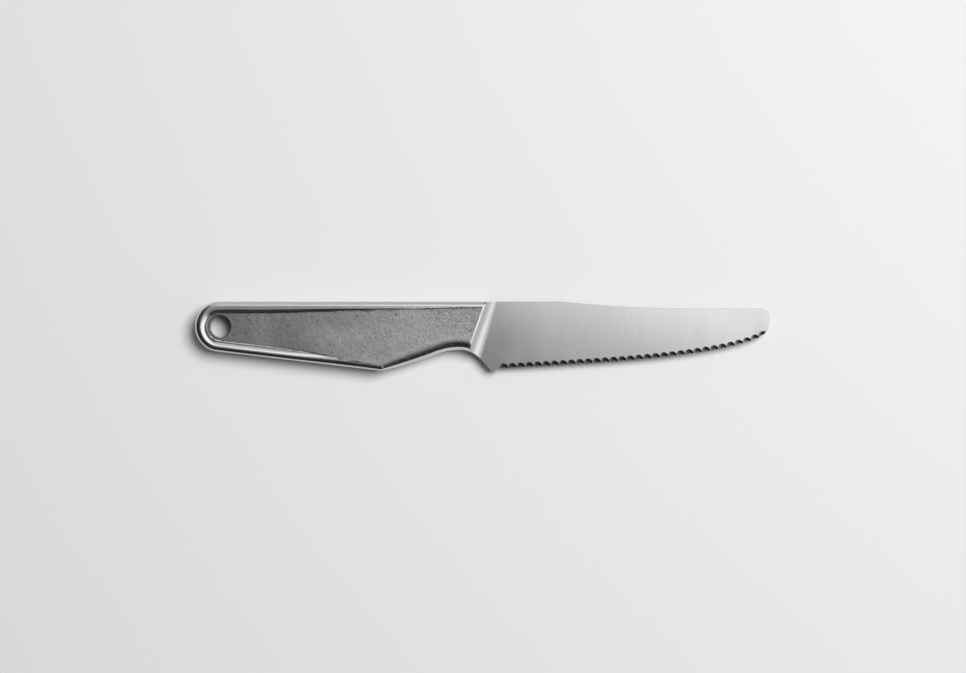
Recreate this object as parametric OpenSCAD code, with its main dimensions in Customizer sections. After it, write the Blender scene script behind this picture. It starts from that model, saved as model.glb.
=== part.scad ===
// Tomato knife forged in one piece, lying on its side.
// X runs from the butt to the tip, Y from the edge to the spine and Z through the thickness.
// The origin is the centre of the footprint, on the surface that the knife lies on.

/* [Overall] */
// Length from the butt end to the tip
overall_len = 207; // [200:1:215]
// Depth from the spine down to the belly and the heel
knife_depth = 24.9; // [24:0.1:26]
// Thickness of the handle over its rim
handle_t = 9; // [8:0.1:10]

/* [Handle rim] */
// Outer radius of the rounded butt end
butt_r = 9; // [8.8:0.1:9.5]
// Distance from the butt end to the belly corner
belly_len = 67; // [64:0.5:70]
// Radius of the rim's outer corners
rim_r = 1.6; // [1.2:0.1:2]
// Width of the flat along the top of the rim
rim_flat = 0.6; // [0.3:0.1:0.8]
// Radius of the rim's inner shoulder
shoulder_r = 1.5; // [1.2:0.1:1.8]
// Radius of the fillet between the rim and the web
fillet_r = 0.8; // [0.6:0.1:1.2]

/* [Handle web] */
// Depth of the web below the rim at the butt
web_recess = 1.2; // [0.6:0.1:1.3]
// Distance from the butt end over which the web stays at its full depth
web_deep_len = 25.5; // [22:0.5:32]
// Distance from the butt end at which the web comes up flush with the rim
web_flush_len = 95.5; // [86:0.5:98]
// Diameter of the hanging hole
hole_d = 8; // [7:0.1:8.4]
// Width of the broken edge round the hanging hole
hole_edge = 0.4; // [0.2:0.1:0.5]

/* [Finger notch] */
// Distance from the top of the notch to the crest of the bolster at the spine
notch_gap = 9.2; // [8.2:0.2:11]
// Height of the notch above the belly
notch_h = 7.5; // [7:0.1:8]
// Radius of the notch on its handle side
notch_back_r = 24; // [20:1:28]
// Radius of the notch on its blade side
notch_front_r = 10; // [9.4:0.2:11]
// Rise of the underside where it leaves the belly corner, in degrees
belly_rise = 12; // [8:1:15]
// Rise of the underside where it meets the notch, in degrees
notch_rise = 21; // [18:1:24]
// Flat wall left between the two round-overs in the notch
grip_wall = 0.2; // [0.1:0.1:1]

/* [Bolster] */
// Distance from the butt end to the crest of the bolster at the spine
crest_len = 104.6; // [103.4:0.2:107]
// Lean of the crest away from square, in degrees
crest_lean = 19.6; // [18:0.2:23]
// Width of the cove at the spine
cove_top = 4.1; // [3.4:0.1:4.6]
// Width of the cove at the notch
cove_foot = 5; // [4.2:0.1:5.4]

/* [Blade] */
// Thickness of the blade at the spine by the bolster
spine_t = 2.2; // [1.8:0.1:2.6]
// Thickness of the blade at the spine by the tip
tip_t = 1.4; // [1:0.1:1.8]
// Thickness of the blade behind the teeth
edge_t = 0.4; // [0.3:0.05:0.6]
// Drop of the spine towards the tip
spine_drop = 2.5; // [1.5:0.1:3]
// Distance from the tip over which the spine runs straight again
spine_flat = 28; // [20:1:32]
// Length of the curved stretch of the spine
spine_curve = 47; // [40:1:55]
// Radius of the tip on its spine side
tip_r = 2.9; // [2.4:0.1:3.6]
// Radius of the tip on its edge side
nose_r = 8; // [7:0.5:9]
// Length of the straight end between the two
tip_face = 1.2; // [0.6:0.1:1.8]
// Slope of the heel behind the notch, in degrees
heel_rise = 49; // [46:1:52]
// Width of the flat under the heel
heel_w = 2.4; // [1.6:0.1:3]
// Step from the heel up to the toothed edge
heel_step = 0.75; // [0.5:0.05:1]
// Radius of the corner under the heel
heel_r = 0.9; // [0.7:0.1:1.4]

/* [Cutting edge] */
// Rise of the edge that comes from its even slope
edge_slope = 5.4; // [4.8:0.1:6]
// Rise that the belly of the blade adds towards the tip
edge_belly = 5.2; // [4.5:0.1:5.5]
// Rise that the last sweep up to the tip adds
edge_sweep = 1.3; // [1:0.1:2]
// Distance from tooth to tooth
tooth_pitch = 3.05; // [2.6:0.05:3.4]
// Height of the gullets on the ground face
gullet_h = 1.7; // [1.4:0.1:2]
// Radius of the wheel that grinds the gullets
gullet_r = 4.1; // [2.6:0.1:5]
// Depth to which the gullets bite into the outline of the edge
gullet_bite = 0.42; // [0.2:0.02:0.6]

/* [Hidden] */
$fn = 96;

polished = [0.78, 0.79, 0.80];
satin = [0.70, 0.71, 0.72];
raw_skin = [0.42, 0.42, 0.43];

clear = 1;
mid_z = handle_t / 2;
butt_x = -overall_len / 2;
tip_x = overall_len / 2;
spine_y = knife_depth / 2;
low_y = -knife_depth / 2;

hole_c = [butt_x + butt_r, spine_y - butt_r];
belly = [butt_x + belly_len, low_y];
rim_w = rim_width(web_recess);
web_deep_x = butt_x + web_deep_len;
web_flush_x = butt_x + web_flush_len;

to_hole = hole_c - belly;
low_angle = atan2(to_hole.y, to_hole.x) + asin(butt_r / norm(to_hole)) - 180;
low_start = polar(hole_c, butt_r, low_angle - 90);
low_len = norm(belly - low_start);

crest_top = [butt_x + crest_len, spine_y];
notch_top = [crest_top.x - notch_gap, low_y + notch_h];
back_c = notch_top - [0, notch_back_r];
front_c = notch_top - [0, notch_front_r];
grip_r = (handle_t - grip_wall) / 2;
belly_pull = 7;

crest_foot = meet_notch(crest_top, crest_lean);
cove_lean = crest_lean - atan((cove_foot - cove_top) / (crest_top.y - crest_foot.y));
root_top = crest_top + [cove_top / cos(crest_lean), 0];
root_foot = meet_notch(root_top, cove_lean);

heel_start = polar(front_c, notch_front_r, 90 - heel_rise);
heel_x = heel_start.x + (heel_start.y - low_y) / tan(heel_rise);
edge_x = heel_x + heel_w + heel_step;
edge_y = low_y + heel_step;
edge_run = tip_x - 2 - edge_x;

tip_c = [tip_x - tip_r, spine_y - spine_drop - tip_r];
nose_c = [tip_x - nose_r, tip_c.y - tip_face];

function lerp(a, b, t) = a + (b - a) * t;
function polar(c, r, a) = [c.x + r * cos(a), c.y + r * sin(a)];
function unit(a) = [cos(a), sin(a)];
function clamp01(t) = min(1, max(0, t));

// Turn of the shoulder and the fillet down to a web that lies this deep, and the width of the rim there
function bank_angle(depth) = acos(1 - depth / (shoulder_r + fillet_r));
function rim_width(depth) = rim_r + rim_flat + (shoulder_r + fillet_r) * sin(bank_angle(depth));

// Depth of the web below the rim at a distance along the handle, which starts to rise without a crease
web_ease = 0.1;
function web_rise(t) = t ^ 2 * (1 + web_ease) / (t + web_ease);
function web_depth(x) =
    web_recess * (1 - web_rise(clamp01((x - web_deep_x) / (web_flush_x - web_deep_x)))) ^ 3;

// Angle on the front circle of the notch where a line that leans back from the spine meets it
function meet_angle(p, lean) =
    let (d = [-sin(lean), -cos(lean)])
    let (b = d * (p - front_c))
    let (c = (p - front_c) * (p - front_c) - notch_front_r ^ 2)
    let (q = p + d * (-b - sqrt(b ^ 2 - c)))
    atan2(q.y - front_c.y, q.x - front_c.x);
function meet_notch(p, lean) = polar(front_c, notch_front_r, meet_angle(p, lean));

// Point at a share t of the curve from the belly corner to the back of the notch, and its slope
notch_back = polar(back_c, notch_back_r, 90 + notch_rise);
belly_ctrl = [
    belly,
    belly + belly_pull * unit(belly_rise),
    notch_back - belly_pull * unit(notch_rise),
    notch_back
];
function belly_point(t) =
    belly_ctrl[0] * (1 - t) ^ 3 + belly_ctrl[1] * 3 * t * (1 - t) ^ 2
    + belly_ctrl[2] * 3 * t ^ 2 * (1 - t) + belly_ctrl[3] * t ^ 3;
function belly_slope(t) =
    let (d = (belly_ctrl[1] - belly_ctrl[0]) * (1 - t) ^ 2
        + (belly_ctrl[2] - belly_ctrl[1]) * 2 * t * (1 - t)
        + (belly_ctrl[3] - belly_ctrl[2]) * t ^ 2)
    atan2(d.y, d.x);

// Heights of the edge line and of the spine line at a distance along the knife
function edge_share(x) = max(0, (x - edge_x) / edge_run);
function edge_line(x) =
    let (s = edge_share(x))
    edge_y + edge_slope * s + edge_belly * s ^ 4 + edge_sweep * s ^ 16;
function edge_angle(x) =
    let (s = edge_share(x))
    atan((edge_slope + 4 * edge_belly * s ^ 3 + 16 * edge_sweep * s ^ 15) / edge_run);
spine_end_x = tip_x - spine_flat;
spine_arc_r = (spine_curve ^ 2 + spine_drop ^ 2) / (2 * spine_drop);
function spine_line(x) =
    let (u = min(spine_curve, max(0, spine_end_x - x)))
    spine_y - spine_drop + spine_arc_r - sqrt(spine_arc_r ^ 2 - u ^ 2);

// Thickness of the blade at a place, between its spine and its edge
function back_t(x) = lerp(spine_t, tip_t, clamp01((x - root_top.x) / (tip_x - root_top.x)));
function blade_t(p) =
    let (foot = p.x < edge_x ? low_y : edge_line(p.x))
    lerp(edge_t, back_t(p.x), clamp01((p.y - foot) / (spine_line(p.x) - foot)));

// Section of the rim, from its outer wall inwards, with the thickness upwards
rim_steps = 8;
rim_top = concat(
    [for (i = [0:rim_steps]) let (a = 90 * i / rim_steps) [rim_r - rim_r * cos(a), rim_r - rim_r * sin(a)]],
    [
        for (i = [0:rim_steps])
            let (a = bank_angle(web_recess) * i / rim_steps)
            [rim_r + rim_flat + shoulder_r * sin(a), shoulder_r - shoulder_r * cos(a)]
    ],
    [
        for (i = [rim_steps - 1:-1:0])
            let (a = bank_angle(web_recess) * i / rim_steps)
            [rim_w - fillet_r * sin(a), web_recess - fillet_r + fillet_r * cos(a)]
    ]
);
rim_last = len(rim_top) - 1;
module rim_section() {
    polygon(concat(
        [for (p = rim_top) [p.x, handle_t - p.y]],
        [for (i = [rim_last:-1:0]) rim_top[i]]
    ));
}

// Straight stretch of rim that starts at p and runs along an angle, with the web on its left
module rim_bar(p, angle, length) {
    translate(p) rotate([90, 0, angle + 90]) linear_extrude(length) rim_section();
}

module plan(points) {
    linear_extrude(handle_t) polygon(points);
}

// Inner edge of each stretch of rim, where the web meets it
inner_steps = 12;
crest_in = crest_top - (rim_r + rim_flat) / cos(crest_lean) * [sin(crest_lean), cos(crest_lean)];
spine_inner = [
    for (i = [0:inner_steps])
        let (x = lerp(hole_c.x, crest_in.x, i / inner_steps))
        [x, spine_y - rim_width(web_depth(x))]
];
mitre_angle = (low_angle + belly_rise) / 2 + 90;
mitre_scale = 1 / cos((belly_rise - low_angle) / 2);
belly_in_w = rim_width(web_depth(belly.x));
low_inner = [
    for (i = [0:inner_steps - 1])
        let (p = low_start + low_len * i / inner_steps * unit(low_angle))
        p + rim_width(web_depth(p.x)) * unit(low_angle + 90)
];

// Stations along the underside: outer point, inward direction, its stretch, round-over, width
crest_stretch = 1 / cos(meet_angle(crest_top, crest_lean) - 90 + crest_lean);
belly_steps = 12;
arc_steps = 8;
front_steps = 5;
function grow(t) = let (u = clamp01(2 * t)) u ^ 2 * (3 - 2 * u);
notch_stations = concat(
    [[belly, mitre_angle, mitre_scale, rim_r, belly_in_w]],
    [
        for (i = [1:belly_steps])
            let (t = i / belly_steps)
            [belly_point(t), belly_slope(t) + 90, 1,
                lerp(rim_r, grip_r, grow(t)), lerp(belly_in_w, grip_r, grow(t))]
    ],
    [
        for (i = [1:arc_steps])
            let (a = lerp(90 + notch_rise, 90, i / arc_steps))
            [polar(back_c, notch_back_r, a), a, 1, grip_r, grip_r]
    ],
    [
        for (i = [1:front_steps - 1])
            let (a = lerp(90, meet_angle(crest_top, crest_lean), i / front_steps))
            [polar(front_c, notch_front_r, a), a, 1, grip_r, grip_r]
    ],
    [[crest_foot, 90 - crest_lean, crest_stretch, grip_r, grip_r]]
);
notch_inner = [for (s = notch_stations) s[0] + s[4] * s[2] * unit(s[1])];

// Closed mesh through rings of equally many points, each ring a list of points in space
module loft(rings) {
    n = len(rings[0]);
    last = len(rings) - 1;
    points = [for (ring = rings, p = ring) p];
    sides = [
        for (i = [0:last - 1], j = [0:n - 1])
            let (a = i * n + j)
            let (b = i * n + (j + 1) % n)
            for (tri = [[a, b, b + n], [a, b + n, a + n]]) tri
    ];
    caps = [[for (j = [n - 1:-1:0]) j], [for (j = [0:n - 1]) last * n + j]];
    polyhedron(points, concat(sides, caps), convexity = 6);
}

// Ring of the underside at one station: round-over, wall and round-over, open to the web's side
round_steps = 8;
function notch_ring(s) =
    let (dir = s[2] * unit(s[1]))
    let (r = s[3])
    let (upper = [
        for (i = [0:round_steps])
            let (a = 90 * i / round_steps)
            [i == 0 ? s[4] : r - r * sin(a), handle_t - r + r * cos(a)]
    ])
    let (lower = [for (i = [round_steps:-1:0]) [upper[i].x, handle_t - upper[i].y]])
    [for (q = concat(upper, lower)) [s[0].x + q.x * dir.x, s[0].y + q.x * dir.y, q.y]];

// Outline of the blade as pairs of points, one on the spine and one on the edge side
heel_pull = heel_r * tan(heel_rise / 2);
heel_round_c = [heel_x + heel_pull, low_y + heel_r];
nose_a = nose_angle(-70, 0, 24);
nose_x = polar(nose_c, nose_r, nose_a).x;
fore_x = max(edge_x, root_top.x) + 3;
foot_path = concat(
    [
        for (i = [0:arc_steps])
            let (a = lerp(meet_angle(root_top, cove_lean), 90 - heel_rise, i / arc_steps))
            polar(front_c, notch_front_r, a)
    ],
    [for (i = [0:4]) polar(heel_round_c, heel_r, lerp(270 - heel_rise, 270, i / 4))],
    [for (i = [0:4]) polar([edge_x, low_y], heel_step, lerp(180, 90, i / 4))]
);
foot_last = len(foot_path) - 1;
edge_steps = 48;
tip_steps = 10;
tip_flat = 3;
blade_pairs = concat(
    [for (i = [0:foot_last]) [[lerp(root_top.x, fore_x, i / foot_last), spine_y], foot_path[i]]],
    [
        for (i = [1:edge_steps])
            let (xu = lerp(fore_x, tip_c.x, i / edge_steps))
            let (xl = lerp(edge_x, nose_x, i / edge_steps))
            [[xu, spine_line(xu)], [xl, edge_line(xl)]]
    ],
    [
        for (i = [1:tip_steps])
            [
                polar(tip_c, tip_r, lerp(90, tip_flat, i / tip_steps)),
                polar(nose_c, nose_r, lerp(nose_a, -tip_flat, i / tip_steps))
            ]
    ]
);
function nose_angle(low, high, n) =
    let (mid = (low + high) / 2)
    let (p = polar(nose_c, nose_r, mid))
    n == 0 ? mid : p.y > edge_line(p.x) ? nose_angle(low, mid, n - 1) : nose_angle(mid, high, n - 1);
function blade_ring(pair) =
    let (a = blade_t(pair[0]) / 2)
    let (b = blade_t(pair[1]) / 2)
    [
        [pair[0].x, pair[0].y, mid_z + a], [pair[1].x, pair[1].y, mid_z + b],
        [pair[1].x, pair[1].y, mid_z - b], [pair[0].x, pair[0].y, mid_z - a]
    ];

// Where each gullet starts, one tooth pitch along the edge from the one before
function gullet_starts(x) =
    x > nose_x - tooth_pitch / 4 ? []
    : concat([x], gullet_starts(x + tooth_pitch * cos(edge_angle(x + tooth_pitch / 2))));

// Wheel track that grinds one gullet into the upper face
gullet_back = 4;
gullet_reach = 6;
module gullet(start) {
    x = start + tooth_pitch / 2 * cos(edge_angle(start));
    p = [x, edge_line(x)];
    face_half = blade_t(p + [0, gullet_h]) / 2;
    under_half = blade_t(p + [0, gullet_bite]) / 2;
    tilt = atan((face_half + under_half) / (gullet_h - gullet_bite));
    translate([p.x, p.y, mid_z + face_half]) rotate([0, 0, edge_angle(x)])
        translate([0, gullet_h, 0]) rotate([90 + tilt, 0, 0])
            translate([0, gullet_r, -gullet_back])
                cylinder(h = gullet_back + gullet_reach, r = gullet_r);
}

// Area outside a round-over of radius r, for a corner at the origin with the solid below and right
module corner(r) {
    difference() {
        translate([-clear, -r]) square(r + clear);
        translate([r, -r]) circle(r);
    }
}

// Cone with radius ra round point a and radius rb round point b
module cone_between(a, b, ra, rb) {
    d = b - a;
    translate(a) rotate([0, acos(d.z / norm(d)), atan2(d.y, d.x)]) cylinder(h = norm(d), r1 = ra, r2 = rb);
}

module blade() {
    color(satin) difference() {
        loft([for (pair = blade_pairs) blade_ring(pair)]);
        for (x = gullet_starts(edge_x)) gullet(x);
    }
}

// The cove is a cone lying on the blade's face just past its root, wider at the foot
cove_past = 0.1;
module cove_wheel() {
    top_drop = mid_z - blade_t(root_top) / 2;
    foot_drop = mid_z - blade_t(root_foot) / 2;
    top_r = (cove_top ^ 2 + top_drop ^ 2) / (2 * top_drop);
    foot_r = (cove_foot ^ 2 + foot_drop ^ 2) / (2 * foot_drop);
    a = [root_top.x + cove_past, root_top.y, mid_z - top_drop + top_r];
    b = [root_foot.x + cove_past, root_foot.y, mid_z - foot_drop + foot_r];
    past = 0.2;
    cone_between(
        a + past * (a - b), b + past * (b - a),
        top_r + past * (top_r - foot_r), foot_r + past * (foot_r - top_r)
    );
}

module bolster() {
    color(polished) difference() {
        plan([crest_top, root_top, root_foot, crest_foot]);
        translate([front_c.x, front_c.y, -clear]) cylinder(h = handle_t + 2 * clear, r = notch_front_r);
        for (side = [0, 1])
            translate([0, 0, mid_z]) mirror([0, 0, side]) {
                cove_wheel();
                translate(front_c) rotate_extrude() translate([notch_front_r, mid_z]) corner(grip_r);
                translate([root_top.x + clear, spine_y, mid_z]) rotate([90, 0, -90])
                    linear_extrude(root_top.x - crest_foot.x + 2 * clear) corner(rim_r);
            }
    }
}

module handle_web() {
    ring_r = butt_r - rim_w;
    ring_steps = ceil($fn * (180 + low_angle) / 360);
    outline = concat(
        spine_inner,
        [for (i = [len(notch_inner) - 1:-1:0]) notch_inner[i]],
        [for (i = [inner_steps - 1:-1:0]) low_inner[i]],
        [for (i = [0:ring_steps]) polar(hole_c, ring_r, lerp(270 + low_angle, 90, i / ring_steps))]
    );
    profile_steps = 16;
    profile_x = [
        butt_x,
        for (i = [0:profile_steps]) lerp(web_deep_x, web_flush_x, i / profile_steps),
        crest_top.x
    ];
    profile = concat(
        [for (x = profile_x) [x, handle_t - web_depth(x)]],
        [for (i = [len(profile_x) - 1:-1:0]) [profile_x[i], web_depth(profile_x[i])]]
    );
    color(raw_skin) difference() {
        intersection() {
            plan(outline);
            translate([0, spine_y, 0]) rotate([90, 0, 0]) linear_extrude(knife_depth) polygon(profile);
        }
        translate([hole_c.x, hole_c.y, -clear]) cylinder(h = handle_t + 2 * clear, d = hole_d);
        for (side = [0, 1])
            translate([hole_c.x, hole_c.y, mid_z]) mirror([0, 0, side])
                translate([0, 0, mid_z - web_recess - hole_edge])
                    cylinder(h = 2 * hole_edge, r1 = hole_d / 2, r2 = hole_d / 2 + 2 * hole_edge);
    }
}

module spine_rail() {
    start = [hole_c.x, spine_y];
    color(polished) intersection() {
        rim_bar([crest_top.x + clear, spine_y], 180, crest_top.x + clear - hole_c.x);
        plan(concat([start, crest_top], [for (i = [inner_steps:-1:0]) spine_inner[i]]));
    }
}

module butt_loop() {
    color(polished) translate(hole_c) rotate([0, 0, 90])
        rotate_extrude(angle = 180 + low_angle)
            translate([butt_r, 0]) mirror([1, 0]) rim_section();
}

module belly_rail() {
    color(polished) intersection() {
        rim_bar(low_start, low_angle, low_len + rim_w);
        plan(concat([low_start, belly, notch_inner[0]], [for (i = [inner_steps - 1:-1:0]) low_inner[i]]));
    }
}

module finger_notch() {
    color(polished) loft([for (s = notch_stations) notch_ring(s)]);
}

blade();
bolster();
handle_web();
spine_rail();
butt_loop();
belly_rail();
finger_notch();
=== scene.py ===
import bpy
import bmesh
import numpy as np
from math import acos, asin, atan, atan2, cos, degrees, hypot, pi, radians, sin, sqrt, tan
from mathutils import Matrix, Vector, noise


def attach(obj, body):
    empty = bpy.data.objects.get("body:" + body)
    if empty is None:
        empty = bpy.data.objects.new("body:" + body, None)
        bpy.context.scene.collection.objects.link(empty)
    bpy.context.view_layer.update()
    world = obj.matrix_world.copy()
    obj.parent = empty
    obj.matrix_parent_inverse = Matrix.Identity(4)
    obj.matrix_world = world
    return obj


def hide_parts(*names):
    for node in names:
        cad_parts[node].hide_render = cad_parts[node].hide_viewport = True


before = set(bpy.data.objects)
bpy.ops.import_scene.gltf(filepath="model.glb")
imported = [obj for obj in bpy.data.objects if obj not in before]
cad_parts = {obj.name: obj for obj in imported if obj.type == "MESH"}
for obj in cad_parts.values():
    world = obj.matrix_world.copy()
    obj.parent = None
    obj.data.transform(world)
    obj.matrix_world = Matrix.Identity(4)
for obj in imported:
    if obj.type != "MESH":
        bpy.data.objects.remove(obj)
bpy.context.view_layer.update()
print("frame loaded:", sorted(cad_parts))

mm = 0.001
midZ = 4.5  # half the handle's thickness, the height of the knife's middle plane

# the plan of the knife in mm, as in the CAD: X to the tip, Y to the spine
plan = {
    "spineY": 12.45,
    "lowY": -12.45,
    "tipX": 103.5,
    "holeCentre": (-94.5, 3.45),
    "buttRadius": 9.0,
    "belly": (-36.5, -12.45),
    "bellyRise": 12.0,
    "bellyRound": 5.0,
    "bellyPull": 7.0,
    "notchTop": (-8.1, -4.95),
    "notchBackRadius": 24.0,
    "notchFrontRadius": 10.0,
    "notchRise": 21.0,
    "heelRise": 49.0,
    "crestTop": (1.1, 12.45),
    "crestLean": 19.6,
    "coveTop": 4.1,
    "coveFoot": 5.0,
}


def polar(centre, radius, angle):
    return Vector((centre[0] + radius * cos(radians(angle)), centre[1] + radius * sin(radians(angle))))


def along(angle):
    return Vector((cos(radians(angle)), sin(radians(angle))))


def mix(a, b, t):
    return a + (b - a) * t


def clamp(t):
    return min(1.0, max(0.0, t))


def ease(t):
    t = clamp(t)
    return t * t * (3 - 2 * t)


holeCentre = Vector(plan["holeCentre"])
belly = Vector(plan["belly"])
toHole = holeCentre - belly
lowAngle = degrees(atan2(toHole.y, toHole.x)) + degrees(asin(plan["buttRadius"] / toHole.length)) - 180
lowStart = polar(holeCentre, plan["buttRadius"], lowAngle - 90)
notchTop = Vector(plan["notchTop"])
backCentre = notchTop - Vector((0, plan["notchBackRadius"]))
frontCentre = notchTop - Vector((0, plan["notchFrontRadius"]))
crestTop = Vector(plan["crestTop"])


def meetNotch(point, lean):  # angle on the notch's front circle that a line leaning back from the spine meets
    d = Vector((-sin(radians(lean)), -cos(radians(lean))))
    b = d.dot(point - frontCentre)
    c = (point - frontCentre).length_squared - plan["notchFrontRadius"] ** 2
    q = point + d * (-b - sqrt(b * b - c)) - frontCentre
    return degrees(atan2(q.y, q.x))


crestFoot = polar(frontCentre, plan["notchFrontRadius"], meetNotch(crestTop, plan["crestLean"]))
rootTop = crestTop + Vector((plan["coveTop"] / cos(radians(plan["crestLean"])), 0))
coveLean = plan["crestLean"] - degrees(atan((plan["coveFoot"] - plan["coveTop"]) / (crestTop.y - crestFoot.y)))
rootFootAngle = meetNotch(rootTop, coveLean)
rootFoot = polar(frontCentre, plan["notchFrontRadius"], rootFootAngle)


# helpers for working as by hand
def deselect():
    if bpy.context.object and bpy.context.object.mode != "OBJECT":
        bpy.ops.object.mode_set(mode="OBJECT")
    bpy.ops.object.select_all(action="DESELECT")


def pick(piece):
    deselect()
    piece.select_set(True)
    bpy.context.view_layer.objects.active = piece


def settle(piece):  # the object goes to the origin, and its place goes into its mesh
    pick(piece)
    bpy.ops.object.transform_apply(location=True, rotation=True, scale=True)


def faceOutwards(piece):
    pick(piece)
    bpy.ops.object.mode_set(mode="EDIT")
    bpy.ops.mesh.select_all(action="SELECT")
    bpy.ops.mesh.remove_doubles(threshold=0.0005 * mm)
    bpy.ops.mesh.normals_make_consistent(inside=False)
    bpy.ops.object.mode_set(mode="OBJECT")


def cut(piece, tool, how="DIFFERENCE"):
    pick(piece)
    boolean = piece.modifiers.new("cut", "BOOLEAN")
    boolean.operation = how
    boolean.solver = "EXACT"
    boolean.object = tool
    bpy.ops.object.modifier_apply(modifier=boolean.name)
    bpy.data.objects.remove(tool)


def smooth(piece, angle=30):
    pick(piece)
    bpy.ops.object.shade_smooth_by_angle(angle=radians(angle))


# a closed ring from a circle, extruded and set to each following ring in turn, and capped at both ends
def loft(name, rings, capped=True):
    count = len(rings[0])
    deselect()
    bpy.ops.mesh.primitive_circle_add(vertices=count, radius=mm, fill_type="NOTHING")
    piece = bpy.context.object
    piece.name = name
    bpy.ops.object.mode_set(mode="EDIT")
    bpy.ops.mesh.select_mode(type="EDGE")
    bpy.ops.mesh.select_all(action="SELECT")
    for k, places in enumerate(rings):
        if k:
            bpy.ops.mesh.extrude_edges_indiv()
        mesh = bmesh.from_edit_mesh(piece.data)
        mesh.verts.ensure_lookup_table()
        for vert, place in zip(mesh.verts[-count:], places):
            vert.co = Vector(place) * mm
    if capped:
        bpy.ops.mesh.edge_face_add()
        bpy.ops.mesh.select_all(action="DESELECT")
        mesh = bmesh.from_edit_mesh(piece.data)
        mesh.verts.ensure_lookup_table()
        first = set(mesh.verts[:count])
        for edge in mesh.edges:
            edge.select = edge.verts[0] in first and edge.verts[1] in first
        bpy.ops.mesh.edge_face_add()
    bmesh.update_edit_mesh(piece.data)
    faceOutwards(piece)
    return piece


# the way round the handle: crest, spine, butt, underside, belly corner, finger notch, and back at the crest
rim = {
    "round": 1.6,
    "buttRound": [(95, 1.6), (150, 2.1), (205, 2.1), (255, 1.7)],
    "lowRound": [(-96, 1.7), (-88, 1.6), (-68, 1.6), (-52, 1.95), (-41, 1.8), (-36.5, 1.6)],
    "crown": (0.8, 1.35),
    "crownTurn": 22,
    "shoulder": 0.8,
    "fillet": (0.3, 0.5),
    "gripRound": 4.4,
    "gripGrowth": [
        (-36.5, 0.0), (-33.0, 0.38), (-26.0, 0.7), (-19.0, 0.77), (-10.0, 0.78), (-6.0, 0.66), (-3.0, 0.6),
    ],
    "roundSteps": 14,
    "crownSteps": 6,
    "shoulderSteps": 10,
    "filletSteps": 8,
    "buttSteps": 72,
    "bellySteps": 8,
    "riseSteps": 30,
    "notchSteps": (20, 12),
    "runStep": 2.0,
    "underWeb": [(0.2, 0.1), (0.5, 0.6)],
}
web = {
    "recess": 1.2,
    "deepX": -78.0,
    "flushX": -8.0,
    "ease": 0.1,
    "lowShift": 18.0,
    "cell": 0.33,
    "waveDepth": 0.02,
    "waveSize": 7.0,
    "grainDepth": 0.03,
    "grainSize": 0.9,
    "sunk": 0.6,
    "calm": 0.9,
}
crest = {"chamferTop": 0.8, "chamferFoot": 0.4, "dropTop": 0.36, "dropFoot": 0.18}


def webDepth(x, y):  # it runs out sooner along the underside
    x += web["lowShift"] * ease((x + 75) / 25) * ease((5 - y) / 12)
    u = clamp((x - web["deepX"]) / (web["flushX"] - web["deepX"]))
    rise = u * u * (1 + web["ease"]) / (u + web["ease"])
    return max(0.004, web["recess"] * (1 - rise) ** 3)


def crestLine(shift):  # a line beside the crest, -1 at the web's side of the chamfer and 1 at the cove's side
    lean = plan["crestLean"]
    top = crestTop + Vector((shift * crest["chamferTop"] / 2 / cos(radians(lean)), 0))
    footX = crestFoot.x + shift * crest["chamferFoot"] / 2 / cos(radians(lean))
    lean = degrees(atan((top.x - footX) / (top.y - crestFoot.y)))
    return top, meetNotch(top, lean), lean


webTop, webFootAngle, webLean = crestLine(-1)
stations = []


def station(point, angle, stretch=1.0, grip=0.0, domed=1.0, rounded=rim["round"]):
    stations.append({
        "point": Vector(point), "dir": along(angle) * stretch, "grip": grip, "domed": domed, "rounded": rounded,
    })


def readOff(x, table):
    return float(np.interp(x, *np.array(table).T))


def run(a, b):
    return max(2, round((Vector(b) - Vector(a)).length / rim["runStep"]))


station(webTop, 270 - webLean, 1 / cos(radians(webLean)), domed=0.1)
spineStart = Vector((webTop.x - 3, plan["spineY"]))
spineEnd = Vector((holeCentre.x, plan["spineY"]))
steps = run(spineStart, spineEnd)
for i in range(steps):
    station(spineStart.lerp(spineEnd, i / steps), 270, domed=0.1)
for i in range(rim["buttSteps"]):
    a = mix(90, 270 + lowAngle, i / rim["buttSteps"])
    domed = mix(0.1, 1.0, ease((a - 95) / 60))
    station(polar(holeCentre, plan["buttRadius"], a), a + 180, domed=domed, rounded=readOff(a, rim["buttRound"]))
turn = plan["bellyRise"] - lowAngle
tangent = plan["bellyRound"] * tan(radians(turn / 2))
lowEnd = belly - along(lowAngle) * tangent
steps = run(lowStart, lowEnd)
for i in range(steps):
    point = lowStart.lerp(lowEnd, i / steps)
    station(point, lowAngle + 90, rounded=readOff(point.x, rim["lowRound"]))
bellyCentre = lowEnd + along(lowAngle + 90) * plan["bellyRound"]
for i in range(rim["bellySteps"]):
    a = lowAngle - 90 + turn * i / rim["bellySteps"]
    point = polar(bellyCentre, plan["bellyRound"], a)
    station(point, a + 180, rounded=readOff(point.x, rim["lowRound"]))


def gripAt(x):  # how far the rounding has grown from the rim's to the full round under the finger
    return readOff(x, rim["gripGrowth"])


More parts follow.
